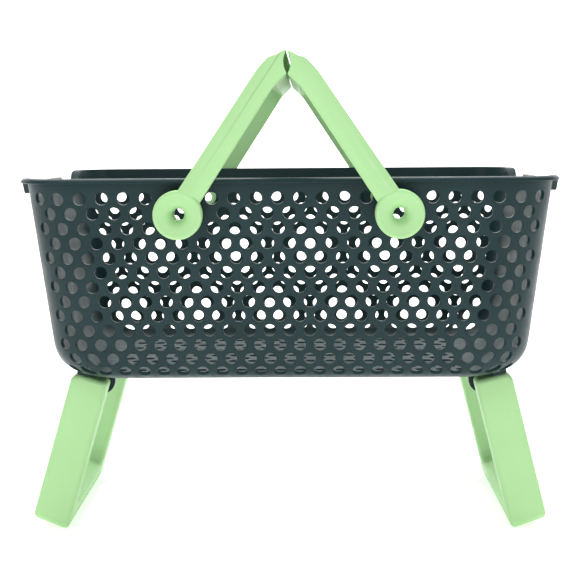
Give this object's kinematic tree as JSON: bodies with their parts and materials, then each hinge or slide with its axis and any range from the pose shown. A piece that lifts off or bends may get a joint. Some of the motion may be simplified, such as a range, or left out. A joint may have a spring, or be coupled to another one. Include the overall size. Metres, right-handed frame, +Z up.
{
  "type": "shopping basket",
  "caption": "Tapered open basket with a flanged rim, swinging U handles that meet over the middle, and folding U legs under the floor.",
  "frame": {"origin": "on the ground under the middle of the basket's box", "axes": "+Z up, +X along the basket's length, +Y across it to the rear"},
  "size_m": [0.519, 0.3922, 0.4714],
  "materials": {
    "slate_plastic": "satin moulded polypropylene, dark slate green",
    "mint_plastic": "satin moulded polypropylene, light mint green",
    "pin_plastic": "satin moulded plastic, near black"
  },
  "bodies": {
    "tub": {"tub": "slate_plastic", "leg_pin_left_front": "pin_plastic", "leg_pin_left_rear": "pin_plastic", "leg_pin_right_front": "pin_plastic", "leg_pin_right_rear": "pin_plastic"},
    "handle_left": {"handle_left": "mint_plastic"},
    "handle_right": {"handle_right": "mint_plastic"},
    "leg_left": {"leg_left": "mint_plastic"},
    "leg_right": {"leg_right": "mint_plastic"}
  },
  "joints": [
    {"name": "handle_left_swing", "type": "hinge", "parent": "tub", "child": "handle_left", "pos_m": [-0.1025, 0, 0.3216], "axis": [0, -1, 0], "range_deg": [0, 106]},
    {"name": "handle_right_swing", "type": "hinge", "parent": "tub", "child": "handle_right", "pos_m": [0.1025, 0, 0.3216], "axis": [0, 1, 0], "range_deg": [0, 106]},
    {"name": "leg_left_fold", "type": "hinge", "parent": "tub", "child": "leg_left", "pos_m": [-0.1935, 0, 0.147], "axis": [0, -1, 0], "range_deg": [0, 106]},
    {"name": "leg_right_fold", "type": "hinge", "parent": "tub", "child": "leg_right", "pos_m": [0.1935, 0, 0.147], "axis": [0, 1, 0], "range_deg": [0, 104]}
  ]
}
